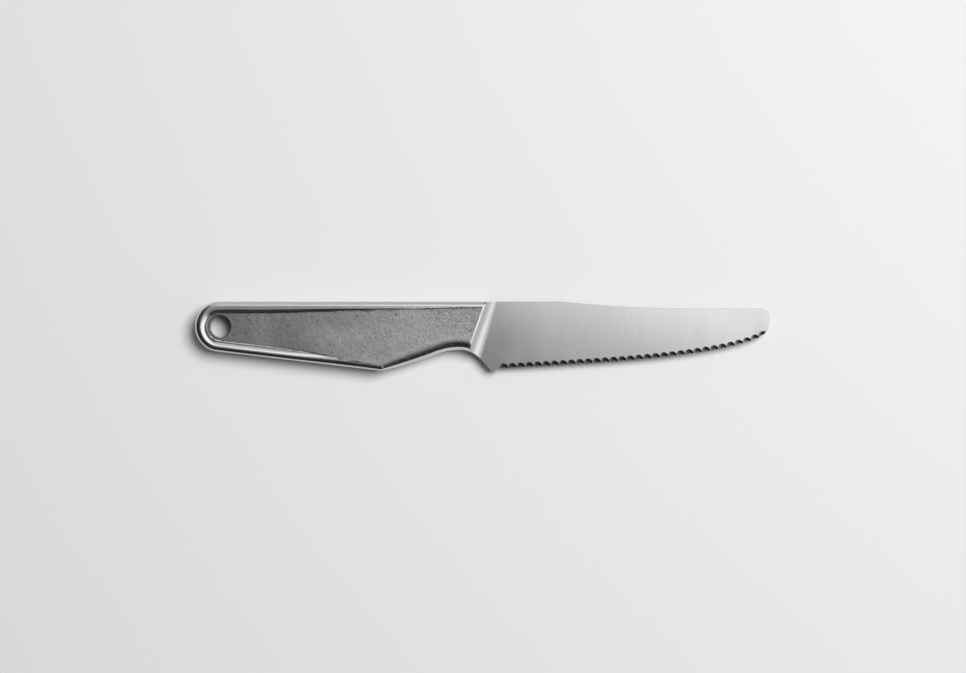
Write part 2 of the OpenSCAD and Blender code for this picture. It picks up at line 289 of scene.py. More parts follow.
notchBack = polar(backCentre, plan["notchBackRadius"], 90 + plan["notchRise"])
pulls = [
    belly,
    belly + along(plan["bellyRise"]) * plan["bellyPull"],
    notchBack - along(plan["notchRise"]) * plan["bellyPull"],
    notchBack,
]
firstT = tangent / (3 * plan["bellyPull"])
for i in range(rim["riseSteps"]):  # a free curve from the belly up into the notch
    t = mix(firstT, 1, i / rim["riseSteps"])
    back = 1 - t
    point = pulls[0] * back ** 3 + pulls[1] * 3 * t * back ** 2 + pulls[2] * 3 * t * t * back + pulls[3] * t ** 3
    slope = (pulls[1] - pulls[0]) * back ** 2 + (pulls[2] - pulls[1]) * 2 * t * back + (pulls[3] - pulls[2]) * t * t
    station(point, degrees(atan2(slope.y, slope.x)) + 90, 1.0, gripAt(point.x))
for centre, radius, first, last, count in (
    (backCentre, plan["notchBackRadius"], 90 + plan["notchRise"], 90, rim["notchSteps"][0]),
    (frontCentre, plan["notchFrontRadius"], 90, webFootAngle, rim["notchSteps"][1]),
):
    for i in range(count):
        a = mix(first, last, i / count)
        point = polar(centre, radius, a)
        station(point, a, 1.0, gripAt(point.x))
webFoot = polar(frontCentre, plan["notchFrontRadius"], webFootAngle)
station(webFoot, 90 - webLean, 1 / cos(radians(webFootAngle - 90 + webLean)), gripAt(webFoot.x))
footRound = mix(rim["round"], rim["gripRound"], gripAt(webFoot.x))


# outer wall, slightly crowned top, shoulder and fillet down to the web; shallow webs have a narrower, flatter rim
def shapeRim(s):
    s["depth"] = webDepth(*s["point"])
    share = s["depth"] / web["recess"]
    s["round"] = mix(s["rounded"], rim["gripRound"], s["grip"])
    width = max(mix(*rim["crown"], share) * (1 - s["grip"]), 0.02)
    turned = radians(rim["crownTurn"]) * s["domed"] * share ** 0.7
    s["crown"] = width / sin(turned)
    s["shoulder"] = rim["shoulder"]
    s["fillet"] = mix(*rim["fillet"], share)
    crownDrop = s["crown"] * (1 - cos(turned))
    both = s["shoulder"] + s["fillet"]
    last = (crownDrop + s["shoulder"] * cos(turned) + s["fillet"] - s["depth"]) / both
    s["bank"] = acos(clamp(last))
    if s["bank"] < turned:
        turned = s["bank"] = acos(1 - s["depth"] / (s["crown"] + s["fillet"]))
    s["turned"] = turned
    s["width"] = (
        s["round"] + s["crown"] * sin(turned)
        + s["shoulder"] * (sin(s["bank"]) - sin(turned)) + s["fillet"] * sin(s["bank"])
    )


for s in stations:
    shapeRim(s)


def rimSection(s):  # upper half, as distance in from the outer wall and height
    top = 2 * midZ
    half = [(0.0, midZ)]
    for i in range(rim["roundSteps"] + 1):
        a = pi / 2 * i / rim["roundSteps"]
        half.append((s["round"] * (1 - cos(a)), top - s["round"] * (1 - sin(a))))
    for i in range(1, rim["crownSteps"] + 1):
        a = s["turned"] * i / rim["crownSteps"]
        half.append((s["round"] + s["crown"] * sin(a), top - s["crown"] * (1 - cos(a))))
    atX, atZ = half[-1]
    for i in range(1, rim["shoulderSteps"] + 1):
        a = mix(s["turned"], s["bank"], i / rim["shoulderSteps"])
        half.append((
            atX + s["shoulder"] * (sin(a) - sin(s["turned"])),
            atZ - s["shoulder"] * (cos(s["turned"]) - cos(a)),
        ))
    for i in range(rim["filletSteps"] - 1, -1, -1):
        a = s["bank"] * i / rim["filletSteps"]
        half.append((s["width"] - s["fillet"] * sin(a), top - s["depth"] + s["fillet"] * (1 - cos(a))))
    half += [(s["width"] + inwards, top - s["depth"] - down) for inwards, down in rim["underWeb"]]
    return half


def rimRing(s):
    half = rimSection(s)
    upper = [(*(s["point"] + s["dir"] * inset), z) for inset, z in half]
    lower = [(x, y, 2 * midZ - z) for x, y, z in reversed(upper[1:])]
    return upper + lower


rimPiece = loft("polished_rim", [rimRing(s) for s in stations])
smooth(rimPiece, 40)
print("rim:", len(rimPiece.data.polygons), "faces")

# raw web inside the rim
webEdge = [s["point"] + s["dir"] * (s["width"] + 0.1) for s in stations]
deselect()
wide = (webTop.x - plan["holeCentre"][0] + 12, plan["spineY"] - plan["lowY"] + 2)
bpy.ops.mesh.primitive_grid_add(
    x_subdivisions=round(wide[0] / web["cell"]),
    y_subdivisions=round(wide[1] / web["cell"]),
    size=mm,
    location=((webTop.x - wide[0] / 2 + 2) * mm, 0, (midZ - 1) * mm),
)
webPiece = bpy.context.object
webPiece.name = "raw_web"
webPiece.scale = (wide[0], wide[1], 1)
settle(webPiece)
bpy.ops.object.mode_set(mode="EDIT")
bpy.ops.mesh.select_all(action="SELECT")
bpy.ops.mesh.extrude_region_move(TRANSFORM_OT_translate={"value": (0, 0, 2 * mm)})
faceOutwards(webPiece)
prism = loft("web_plan", [[(p.x, p.y, z) for p in webEdge] for z in (-1, 10)])
cut(webPiece, prism, "INTERSECT")
hole = {"radius": 4.0, "lip": 0.18, "lipSteps": 8, "aroundSteps": 128}
deselect()
bpy.ops.mesh.primitive_cylinder_add(
    vertices=hole["aroundSteps"],
    radius=(hole["radius"] + hole["lip"]) * mm,
    depth=20 * mm,
    location=(holeCentre.x * mm, holeCentre.y * mm, midZ * mm),
)
cut(webPiece, bpy.context.object)
print("web:", len(webPiece.data.polygons), "faces")

wayPoints = np.array([s["point"] for s in stations])


def wayFinely():  # the outline as many short stretches, with how far along the way each starts
    a, b = wayPoints[:-1], wayPoints[1:]
    lengths = np.hypot(*(b - a).T)
    return a, b - a, lengths, np.concatenate([[0], np.cumsum(lengths)[:-1]])


def insetOf(places):  # distance in from the outline, and distance along it, for points in mm
    a, d, lengths, starts = wayFinely()
    best = np.full(len(places), 1e9)
    way = np.zeros(len(places))
    for start, step, length, begun in zip(a, d, lengths, starts):
        t = np.clip(((places - start) @ step) / length ** 2, 0, 1)
        off = np.hypot(*(places - start - t[:, None] * step).T)
        near = off < best
        best[near] = off[near]
        way[near] = begun + t[near] * length
    return best, way


def coordinates(piece):
    co = np.zeros(len(piece.data.vertices) * 3)
    piece.data.vertices.foreach_get("co", co)
    return co.reshape(-1, 3) / mm


def relief(x, y, side):  # how far the forged skin lies below its mean plane
    wave = noise.fractal(Vector((x / web["waveSize"], y / web["waveSize"], 3.1 + side)), 1.0, 2.0, 3)
    grain = noise.fractal(Vector((x / web["grainSize"], y / web["grainSize"], 7.7 + side)), 0.8, 2.1, 3)
    sunk = 1 - clamp(webDepth(x, y) / 0.06)  # where the web is flush, nothing of it may stand above the rim
    return web["sunk"] * (web["waveDepth"] * (sunk + wave) + web["grainDepth"] * (sunk + grain))


co = coordinates(webPiece)
inset, way = insetOf(co[:, :2])
widths = np.interp(way, np.concatenate([[0], np.cumsum(wayFinely()[2])]), [s["width"] for s in stations])
for k in range(len(co)):
    x, y, z = co[k]
    side = 1 if z > midZ else -1
    calm = ease((inset[k] - widths[k] - 0.1) / web["calm"])  # smooth beside the rim, the hole and the crest
    calm *= ease((hypot(x - holeCentre.x, y - holeCentre.y) - hole["radius"] - 0.4) / web["calm"])
    calm *= ease((webTop.x - (webTop.y - y) * tan(radians(webLean)) - x) / 1.2)
    height = midZ - max(0.002, webDepth(x, y) + relief(x, y, side) * calm)
    co[k] = x, y, midZ + side * height
webPiece.data.vertices.foreach_set("co", (co * mm).ravel())
webPiece.data.update()
faceOutwards(webPiece)
smooth(webPiece, 50)

# the hole's lip and wall, one ring turned round the hole
lipRings = []
webZ = midZ - web["recess"]
profile = [(hole["radius"] + hole["lip"] + 0.25, webZ - 0.3)]
for i in range(hole["lipSteps"] + 1):
    a = pi / 2 * i / hole["lipSteps"]
    profile.append((hole["radius"] + hole["lip"] * (1 - sin(a)), webZ - hole["lip"] * (1 - cos(a))))
profile += [(r, -z) for r, z in reversed(profile)]
for r, z in profile + profile[:1]:
    ring = [polar(holeCentre, r, 360 * i / hole["aroundSteps"]) for i in range(hole["aroundSteps"])]
    lipRings.append([(p.x, p.y, midZ + z) for p in ring])
lipPiece = loft("hole_lip", lipRings, capped=False)
smooth(lipPiece, 40)
print("hole lip:", len(lipPiece.data.polygons), "faces")


# blade
blade = {
    "spineThick": 2.2,
    "tipThick": 1.4,
    "edgeThick": 0.4,
    "spineDrop": 2.5,
    "spineFlat": 28.0,
    "spineCurve": 47.0,
    "tipRadius": 2.9,
    "noseRadius": 8.0,
    "tipFace": 1.2,
    "heelFlat": 2.4,
    "heelStep": 0.75,
    "heelRadius": 0.9,
    "edgeSlope": 5.4,
    "edgeBelly": 5.2,
    "edgeSweep": 1.3,
    "rows": 14,
    "footSteps": (14, 8, 6),
    "edgeSteps": 96,
    "tipSteps": 24,
    "tipFlat": 3,
    "eased": 0.12,
    "swell": 0.10,
    "swellRun": 20.0,
}
teeth = {"pitch": 3.05, "height": 1.7, "wheel": 4.1, "bite": 0.42}

heelStart = polar(frontCentre, plan["notchFrontRadius"], 90 - plan["heelRise"])
heelX = heelStart.x + (heelStart.y - plan["lowY"]) / tan(radians(plan["heelRise"]))
edgeX = heelX + blade["heelFlat"] + blade["heelStep"]
edgeY = plan["lowY"] + blade["heelStep"]
edgeRun = plan["tipX"] - 2 - edgeX
tipCentre = Vector((plan["tipX"] - blade["tipRadius"], plan["spineY"] - blade["spineDrop"] - blade["tipRadius"]))
noseCentre = Vector((plan["tipX"] - blade["noseRadius"], tipCentre.y - blade["tipFace"]))
spineBend = (blade["spineCurve"] ** 2 + blade["spineDrop"] ** 2) / (2 * blade["spineDrop"])


def edgeLine(x):
    t = max(0.0, (x - edgeX) / edgeRun)
    return edgeY + blade["edgeSlope"] * t + blade["edgeBelly"] * t ** 4 + blade["edgeSweep"] * t ** 16


def edgeAngle(x):
    t = max(0.0, (x - edgeX) / edgeRun)
    steep = blade["edgeSlope"] + 4 * blade["edgeBelly"] * t ** 3 + 16 * blade["edgeSweep"] * t ** 15
    return degrees(atan(steep / edgeRun))


def spineLine(x):
    u = min(blade["spineCurve"], max(0.0, plan["tipX"] - blade["spineFlat"] - x))
    return plan["spineY"] - blade["spineDrop"] + spineBend - sqrt(spineBend ** 2 - u * u)


def footLine(x):  # the edge line, run down evenly to the heel's own level
    x = min(x, noseX - 3)
    return edgeLine(x) - blade["heelStep"] * (1 - ease((x - edgeX) / 10))


def bladeThick(point):
    x, y = point
    back = mix(blade["spineThick"], blade["tipThick"], clamp((x - rootTop.x) / (plan["tipX"] - rootTop.x)))
    return mix(blade["edgeThick"], back, clamp((y - footLine(x)) / (spineLine(x) - footLine(x))))


below, above = -70.0, 0.0
for i in range(30):  # where the nose's arc leaves the edge line
    noseAngle = (below + above) / 2
    point = polar(noseCentre, blade["noseRadius"], noseAngle)
    if point.y > edgeLine(point.x):
        above = noseAngle
    else:
        below = noseAngle
noseX = polar(noseCentre, blade["noseRadius"], noseAngle).x


def swellAt(point):  # the faces are a little convex, and hollow gently into the cove
    wide = spineLine(point.x) - footLine(point.x)
    up = clamp((point.y - footLine(point.x)) / wide)
    rootX = mix(rootTop.x, rootFoot.x, (rootTop.y - point.y) / (rootTop.y - rootFoot.y))
    out = clamp((point.x - rootX) / blade["swellRun"])
    return blade["swell"] * 4 * up * (1 - up) * wide / (plan["spineY"] - plan["lowY"]) * out * (2 - out)


heelPull = blade["heelRadius"] * tan(radians(plan["heelRise"] / 2))
heelCentre = Vector((heelX + heelPull, plan["lowY"] + blade["heelRadius"]))
foot = []
for centre, radius, first, last, count in (
    (frontCentre, plan["notchFrontRadius"], rootFootAngle, 90 - plan["heelRise"], blade["footSteps"][0]),
    (heelCentre, blade["heelRadius"], 270 - plan["heelRise"], 270, blade["footSteps"][1]),
    ((edgeX, plan["lowY"]), blade["heelStep"], 180, 90, blade["footSteps"][2]),
):
    foot += [polar(centre, radius, mix(first, last, i / count)) for i in range(count + 1)]
foreX = max(edgeX, rootTop.x) + 3
pairs = [(Vector((mix(rootTop.x, foreX, i / (len(foot) - 1)), plan["spineY"])), q) for i, q in enumerate(foot)]
for i in range(1, blade["edgeSteps"] + 1):
    xu = mix(foreX, tipCentre.x, i / blade["edgeSteps"])
    xl = mix(edgeX, noseX, i / blade["edgeSteps"])
    pairs.append((Vector((xu, spineLine(xu))), Vector((xl, edgeLine(xl)))))
for i in range(1, blade["tipSteps"] + 1):
    pairs.append((
        polar(tipCentre, blade["tipRadius"], mix(90, blade["tipFlat"], i / blade["tipSteps"])),
        polar(noseCentre, blade["noseRadius"], mix(noseAngle, -blade["tipFlat"], i / blade["tipSteps"])),
    ))

deselect()  # a grid, one column to each pair, drawn to the outline and given its wedge's thickness
bpy.ops.mesh.primitive_grid_add(x_subdivisions=len(pairs) - 1, y_subdivisions=blade["rows"], size=mm)
bladePiece = bpy.context.object
bladePiece.name = "satin_blade"
bpy.ops.object.mode_set(mode="EDIT")
bpy.ops.mesh.select_all(action="SELECT")
bpy.ops.mesh.extrude_region_move(TRANSFORM_OT_translate={"value": (0, 0, mm)})
bpy.ops.object.mode_set(mode="OBJECT")
for vert in bladePiece.data.vertices:
    column = round((vert.co.x / mm + 0.5) * (len(pairs) - 1))
    row = vert.co.y / mm + 0.5
    place = pairs[column][1].lerp(pairs[column][0], row)
    side = 1 if vert.co.z > 0.5 * mm else -1
    ends = [bladeThick(q) / 2 for q in pairs[column]]
    vert.co = Vector((place.x, place.y, midZ + side * (mix(ends[1], ends[0], row) + swellAt(place)))) * mm
faceOutwards(bladePiece)

bpy.ops.object.mode_set(mode="EDIT")  # the spine, the tip and the heel are eased, the edge is left keen
bpy.ops.mesh.select_mode(type="EDGE")
bpy.ops.mesh.select_all(action="DESELECT")
mesh = bmesh.from_edit_mesh(bladePiece.data)
for edge in mesh.edges:
    if len(edge.link_faces) == 2 and edge.calc_face_angle(0) > radians(60):
        m = (edge.verts[0].co + edge.verts[1].co) / 2 / mm
        flat = abs(edge.verts[0].co.z - edge.verts[1].co.z) < 0.2 * mm
        blunt = m.y > edgeLine(m.x) + 3 or m.x > noseX + 1 or m.x < edgeX - 0.9
        edge.select = flat and blunt and m.x > rootTop.x + 0.5
bpy.ops.mesh.bevel(offset=blade["eased"] * mm, segments=3, affect="EDGES")
bpy.ops.object.mode_set(mode="OBJECT")

deselect()  # the wheel that grinds one gullet, then a copy of it at each tooth
bpy.ops.mesh.primitive_cylinder_add(vertices=128, radius=teeth["wheel"] * mm, depth=10 * mm, location=(0, 0, mm))
wheel = bpy.context.object
settle(wheel)
x = edgeX
gullets = 0
while x <= noseX - teeth["pitch"] / 4:
    at = x + teeth["pitch"] / 2 * cos(radians(edgeAngle(x)))
    p = Vector((at, edgeLine(at)))
    faceHalf = bladeThick(p + Vector((0, teeth["height"]))) / 2
    underHalf = bladeThick(p + Vector((0, teeth["bite"]))) / 2
    tilt = atan((faceHalf + underHalf) / (teeth["height"] - teeth["bite"]))
    turnAt = Matrix.Rotation(radians(edgeAngle(at)), 4, "Z")
    tool = wheel.copy()
    tool.data = wheel.data.copy()
    bpy.context.collection.objects.link(tool)
    tool.matrix_world = (
        Matrix.Translation(Vector((p.x, p.y, midZ + faceHalf)) * mm)
        @ turnAt
        @ Matrix.Translation((0, teeth["height"] * mm, 0))
        @ Matrix.Rotation(pi / 2 + tilt, 4, "X")
        @ Matrix.Translation((0, teeth["wheel"] * mm, 0))
    )
    cut(bladePiece, tool)
    gullets += 1
    x += teeth["pitch"] * cos(radians(edgeAngle(x + teeth["pitch"] / 2)))
bpy.data.objects.remove(wheel)
smooth(bladePiece, 4)
gulletMark = bladePiece.data.attributes.new("gullet", "FLOAT", "FACE")
for face in bladePiece.data.polygons:
    at = face.center / mm
    leaning = 0.12 < abs(face.normal.z) < 0.985
    inGullet = leaning and at.x > edgeX - 0.4 and at.y < edgeLine(at.x) + teeth["height"] + 0.2
    gulletMark.data[face.index].value = 1.0 if inGullet else 0.0
print("blade:", len(bladePiece.data.polygons), "faces,", gullets, "gullets")

# bolster: a blank with the handle's own roundings, chamfered at the crest, then hollowed by the cove from both faces
coveTopLine, coveFootAngle, coveStartLean = crestLine(1)
cove = {"power": 3.0, "steps": 48, "roundSteps": 14, "faceSteps": 8}
blankRings = []
layout = [  # point on the spine, lean, angle of the foot on the notch, and how much of the chamfer's drop it has
    (webTop, webLean, webFootAngle, 0.0),
    (coveTopLine, coveStartLean, coveFootAngle, 1.0),
    (rootTop.lerp(coveTopLine, 0.6), coveStartLean, mix(rootFootAngle, coveFootAngle, 0.6), 1.0),
    (rootTop.lerp(coveTopLine, 0.3), coveStartLean, mix(rootFootAngle, coveFootAngle, 0.3), 1.0),
    (rootTop + Vector((0.3, 0)), coveLean, rootFootAngle - 2, 1.0),
]
for top, lean, footAngle, lowered in layout:
    footPoint = polar(frontCentre, plan["notchFrontRadius"], footAngle)
    topDir = along(270 - lean) / cos(radians(lean))
    footDir = along(90 - lean) / cos(radians(footAngle - 90 + lean))
    rounds = []
    for start, inwards, radius in ((top, topDir, rim["round"]), (footPoint, footDir, footRound)):
        quarter = [(start, 0.0)]
        for i in range(1, cove["roundSteps"] + 1):
            a = pi / 2 * i / cove["roundSteps"]
            quarter.append((start + inwards * radius * (1 - cos(a)), midZ - radius * (1 - sin(a))))
        rounds.append(quarter)
    inner = top + topDir * (rim["round"] + rim["crown"][0])
    gripEdge = footPoint + footDir * footRound
    across = [(inner.lerp(gripEdge, i / cove["faceSteps"]), midZ) for i in range(cove["faceSteps"] + 1)]
    half = rounds[0] + across + rounds[1][::-1]
    ring = []
    for q, z in half:
        share = clamp((top - q).length / (top - footPoint).length)
        drop = lowered * mix(crest["dropTop"], crest["dropFoot"], share)
        ring.append((q.x, q.y, z * (1 - drop / midZ)))
    blankRings.append([(x, y, midZ + z) for x, y, z in ring] + [(x, y, midZ - z) for x, y, z in ring[-2:0:-1]])
bolsterPiece = loft("bolster_cove", blankRings)
coveFoot = polar(frontCentre, plan["notchFrontRadius"], coveFootAngle)
for side in (1, -1):
    rings = []
    for y in (plan["spineY"] + 1, coveFoot.y - 6):
        share = (coveTopLine.y - y) / (coveTopLine.y - coveFoot.y)
        rootShare = (rootTop.y - y) / (rootTop.y - rootFoot.y)
        startX = mix(coveTopLine.x, coveFoot.x, share)
        endX = mix(rootTop.x, rootFoot.x, rootShare)
        high = midZ - mix(crest["dropTop"], crest["dropFoot"], share)
        low = mix(bladeThick(rootTop), bladeThick(rootFoot), rootShare) / 2
        ring = []
        for i in range(cove["steps"] + 1):
            u = 1 - i / cove["steps"]
            fall = u ** cove["power"]
            ring.append((mix(endX, startX, u), y, midZ + side * mix(low, high, fall)))
        clear = midZ + side * 2 * midZ  # well off the face
        ring += [(endX + 2, y, midZ + side * low), (endX + 2, y, clear), (startX, y, clear)]
        rings.append(ring)
    cut(bolsterPiece, loft("cove_cut", rings))
pick(bolsterPiece)
bpy.ops.object.mode_set(mode="EDIT")
bpy.ops.mesh.select_all(action="SELECT")
rootWay = (rootFoot - rootTop).normalized()
bpy.ops.mesh.bisect(
    plane_co=(rootTop.x * mm, rootTop.y * mm, 0),
    plane_no=(-rootWay.y, rootWay.x, 0),
    clear_outer=True,
    use_fill=True,
)
bpy.ops.object.mode_set(mode="OBJECT")
faceOutwards(bolsterPiece)
smooth(bolsterPiece, 35)
print("bolster:", len(bolsterPiece.data.polygons), "faces")


# marks that the materials read: how far past the polish line, and how far along the way
polishLine = {  # distance in from the outline at which the forged skin starts, by X along each stretch
    "spine": [(-103, 4.1), (-84, 4.0), (-60, 3.55), (-38, 3.05), (-22, 2.5), (-8, 2.0), (3, 1.9)],
    "under": [
        (-103, 4.1), (-92, 4.0), (-71, 3.8), (-63, 3.4), (-56, 2.9), (-50, 2.4), (-46, 2.1), (-42, 1.8), (-37, 1.5),
    ],
    "notch": [(-37, 1.5), (-34, 1.5), (-26, 1.7), (-19, 1.9), (-10, 2.1), (-6, 2.1), (0, 2.1)],
}
spineWay = (spineEnd - spineStart).length + 3
lowWay = spineWay + radians(180 + lowAngle) * plan["buttRadius"] + (lowEnd - lowStart).length


def mark(piece):
    co = coordinates(piece)
    inset, way = insetOf(co[:, :2])
    spine, under, notch = (np.interp(co[:, 0], *np.array(polishLine[part]).T) for part in ("spine", "under", "notch"))
    line = np.where(way < spineWay + 15, spine, np.where(way < lowWay, under, notch))
    for name, values in (("skin", inset - line), ("way", way), ("inset", inset)):
        layer = piece.data.attributes.new(name, "FLOAT", "POINT")
        layer.data.foreach_set("value", values.astype(np.float32))


for piece in (rimPiece, webPiece, lipPiece, bolsterPiece):
    mark(piece)
print("marks written")


# materials
class Tree:  # short ways to place nodes and join them
    def __init__(self, tree):
        self.tree = tree

    def node(self, kind, **settings):
        made = self.tree.nodes.new(kind)
        for key, value in settings.items():
            setattr(made, key, value)
        return made

    def feed(self, socket, value):
        if isinstance(value, bpy.types.NodeSocket):
            self.tree.links.new(value, socket)
        elif value is not None:
            socket.default_value = value

    def math(self, operation, a, b=None, c=None):
        made = self.node("ShaderNodeMath", operation=operation)
        for socket, value in zip(made.inputs, (a, b, c)):
            self.feed(socket, value)
        return made.outputs[0]

    def span(self, value, low, high, toLow=0.0, toHigh=1.0, kind="SMOOTHSTEP"):
        made = self.node("ShaderNodeMapRange", interpolation_type=kind)
        for socket, given in zip(made.inputs, (value, low, high, toLow, toHigh)):
            self.feed(socket, given)
        return made.outputs["Result"]

    def blend(self, factor, a, b):
        made = self.node("ShaderNodeMix", data_type="FLOAT")
        self.feed(made.inputs["Factor"], factor)
        self.feed(made.inputs["A"], a)
        self.feed(made.inputs["B"], b)
        return made.outputs["Result"]

    def tint(self, factor, a, b):
        made = self.node("ShaderNodeMix", data_type="RGBA")
        self.feed(made.inputs["Factor"], factor)
        self.feed(made.inputs[6], a)
        self.feed(made.inputs[7], b)
        return made.outputs[2]

    def scaled(self, colour, factor):
        made = self.node("ShaderNodeVectorMath", operation="SCALE")
        self.feed(made.inputs[0], colour)
        self.feed(made.inputs["Scale"], factor)
        return made.outputs[0]

    def place(self, vector, scale=(1, 1, 1), turned=0.0, offset=(0, 0, 0)):
        made = self.node("ShaderNodeMapping")
        self.feed(made.inputs["Vector"], vector)
        made.inputs["Scale"].default_value = scale
        made.inputs["Rotation"].default_value = (0, 0, radians(turned))
        made.inputs["Location"].default_value = offset
        return made.outputs["Vector"]

    def apart(self, vector):
        made = self.node("ShaderNodeSeparateXYZ")
        self.feed(made.inputs[0], vector)
        return made.outputs[0], made.outputs[1]

    def speckle(self, vector, size, detail=4.0, rough=0.5, warped=0.0):  # size in mm
        made = self.node("ShaderNodeTexNoise")
        self.feed(made.inputs["Vector"], vector)
        made.inputs["Scale"].default_value = 1 / size
        made.inputs["Detail"].default_value = detail
        made.inputs["Roughness"].default_value = rough
        made.inputs["Distortion"].default_value = warped
        return made.outputs["Fac"]


def group(name, inputs, outputs):
    tree = bpy.data.node_groups.new(name, "ShaderNodeTree")
    for label, kind in inputs:
        tree.interface.new_socket(label, in_out="INPUT", socket_type=kind)
    for label, kind in outputs:
        tree.interface.new_socket(label, in_out="OUTPUT", socket_type=kind)
    t = Tree(tree)
    return tree, t, t.node("NodeGroupInput").outputs, t.node("NodeGroupOutput").inputs


# fine parallel lines left by a belt or a wheel, running along Y of the vector it is given
linesTree, t, given, out = group(
    "grindLines",
    [("Place", "NodeSocketVector"), ("Depth", "NodeSocketFloat")],
    [("Height", "NodeSocketFloat"), ("Tone", "NodeSocketFloat")],
)
fine = t.speckle(t.place(given["Place"], (9.0, 0.22, 0.5)), 1.0, 3.0, 0.6)
broad = t.speckle(t.place(given["Place"], (2.2, 0.07, 0.3), offset=(3, 5, 1)), 1.0, 4.0, 0.6)
both = t.math("ADD", t.math("MULTIPLY", fine, 0.6), t.math("MULTIPLY", broad, 0.4))
t.feed(out["Height"], t.math("MULTIPLY", both, given["Depth"]))
t.feed(out["Tone"], t.span(both, 0.35, 0.65, kind="LINEAR"))

# handling marks: cloudy smears that change the gloss a little
smearTree, t, given, out = group(
    "handledSheen", [("Place", "NodeSocketVector"), ("Size", "NodeSocketFloat")], [("Mask", "NodeSocketFloat")]
)
cloud = t.node("ShaderNodeTexNoise")
t.feed(cloud.inputs["Vector"], given["Place"])
t.feed(cloud.inputs["Scale"], t.math("DIVIDE", 1.0, given["Size"]))
cloud.inputs["Detail"].default_value = 5
cloud.inputs["Distortion"].default_value = 0.8
t.feed(out["Mask"], t.span(cloud.outputs["Fac"], 0.35, 0.7))

# the skin that the forging leaves: mottled, pitted, ragged where the polish breaks into it, and darkened beside the
# rim by painted shade
skinTree, t, given, out = group(
    "forgedSkin",
    [("Place", "NodeSocketVector"), ("Skin", "NodeSocketFloat"), ("Ragged", "NodeSocketFloat")],
    [(name, "NodeSocketFloat") for name in ("Mask", "Tone", "Pits", "Height", "RimShade")],
)
streaky = t.speckle(t.place(given["Place"], (0.45, 1.3, 1.0)), 0.9, 5.0, 0.6, 0.3)
torn = t.math("MULTIPLY", t.math("SUBTRACT", streaky, 0.5), given["Ragged"])
ragged = t.math("ADD", given["Skin"], torn)
t.feed(out["Mask"], t.span(ragged, -0.1, 0.1))
blotch = t.span(t.speckle(t.place(given["Place"], (0.35, 1.0, 1.0), offset=(8, 2, 5)), 1.6, 4.0, 0.55), 0.42, 0.6)
# painted shade: a patchy dark band on the skin just inside the polish line, where the rim's inner wall shades the web
nearRimShade = t.span(ragged, 0.25, 0.65, 1.0, 0.0)
t.feed(out["RimShade"], t.math("MULTIPLY", nearRimShade, t.math("MULTIPLY_ADD", blotch, 0.6, 0.4)))
mottle = t.speckle(given["Place"], 2.6, 6.0, 0.62, 0.4)
grit = t.speckle(t.place(given["Place"], offset=(11, 4, 2)), 0.36, 5.0, 0.7)
deepPits = t.span(t.speckle(t.place(given["Place"], offset=(5, 9, 7)), 0.95, 3.0, 0.5), 0.63, 0.72)
smallPits = t.span(t.speckle(t.place(given["Place"], offset=(2, 3, 17)), 0.3, 3.0, 0.5), 0.62, 0.66)
x, y = t.apart(given["Place"])
corner = t.math("MULTIPLY", t.span(x, -25, -14), t.span(y, -1, 6))  # by the bolster
scars = t.span(t.speckle(t.place(given["Place"], (0.5, 1.5, 1.0), offset=(7, 1, 4)), 0.4, 4.0, 0.6), 0.535, 0.62)
pits = t.math("MAXIMUM", deepPits, t.math("MULTIPLY", smallPits, 0.6))
pits = t.math("MAXIMUM", pits, t.math("MULTIPLY", t.math("MULTIPLY", corner, scars), 0.85))
t.feed(out["Tone"], t.math("ADD", t.math("MULTIPLY", mottle, 0.25), t.math("MULTIPLY", grit, 0.75)))
t.feed(out["Pits"], pits)
rough = t.math("ADD", t.math("MULTIPLY", mottle, 0.5), t.math("MULTIPLY", grit, 0.35))
t.feed(out["Height"], t.math("SUBTRACT", rough, t.math("MULTIPLY", pits, 0.5)))


def surface(name, metallic=1.0):
    made = bpy.data.materials.new(name)
    made.use_nodes = True
    tree = made.node_tree
    shader = tree.nodes["Principled BSDF"]
    shader.inputs["Metallic"].default_value = metallic
    t = Tree(tree)
    place = t.place(t.node("ShaderNodeTexCoord").outputs["Object"], (1000, 1000, 1000))
    return made, t, shader, place


def use(t, tree, **given):
    made = t.node("ShaderNodeGroup", node_tree=tree)
    for label, value in given.items():
        t.feed(made.inputs[label], value)
    return made.outputs


def bump(t, shader, height):  # height in mm
    made = t.node("ShaderNodeBump")
    made.inputs["Strength"].default_value = 1.0
    made.inputs["Distance"].default_value = mm
    t.feed(made.inputs["Height"], height)
    t.feed(shader.inputs["Normal"], made.outputs["Normal"])


def attribute(t, name):
    return t.node("ShaderNodeAttribute", attribute_name=name).outputs["Fac"]


finish = {
    "skinDark": (0.27, 0.27, 0.27, 1),
    "skinPale": (0.40, 0.40, 0.40, 1),
    # painted shade: the colour of the dark band beside the rim
    "pitTone": (0.07, 0.07, 0.07, 1),
    "rimShadeTone": (0.06, 0.06, 0.06, 1),
    "steel": (0.56, 0.56, 0.56, 1),
    "steelBright": (0.66, 0.66, 0.66, 1),
    "satinDark": (0.583, 0.583, 0.583, 1),
    "satinPale": (0.618, 0.618, 0.618, 1),
    # painted light: how far the raw skin's colour is lightened along X
    "paintedLightRamp": (0.80, 1.18),
    "skinRough": (0.27, 0.35),
    "rimRough": (0.10, 0.20),
    "bladeRough": (0.15, 0.20),
    "skinRelief": 0.05,
    "coveDark": (0.57, 0.57, 0.57, 1),
    "covePale": (0.67, 0.67, 0.67, 1),
    # painted shade: the gullets' dark colour
    "gulletShadeTone": (0.25, 0.25, 0.25, 1),
    "gulletRough": 0.27,
    # painted shade: how far the blade's colour is darkened low on the heel
    "heelShade": 0.83,
    "coveRough": (0.29, 0.36),
    "boreRough": (0.30, 0.42),
    "handleLines": 0.004,
    "coveLines": 0.006,
    "bladeLines": 0.0015,
    # painted shade: the dark colours of the hole's wall and lip
    "boreShadeDark": (0.10, 0.10, 0.10, 1),
    "boreShadePale": (0.16, 0.16, 0.16, 1),
}


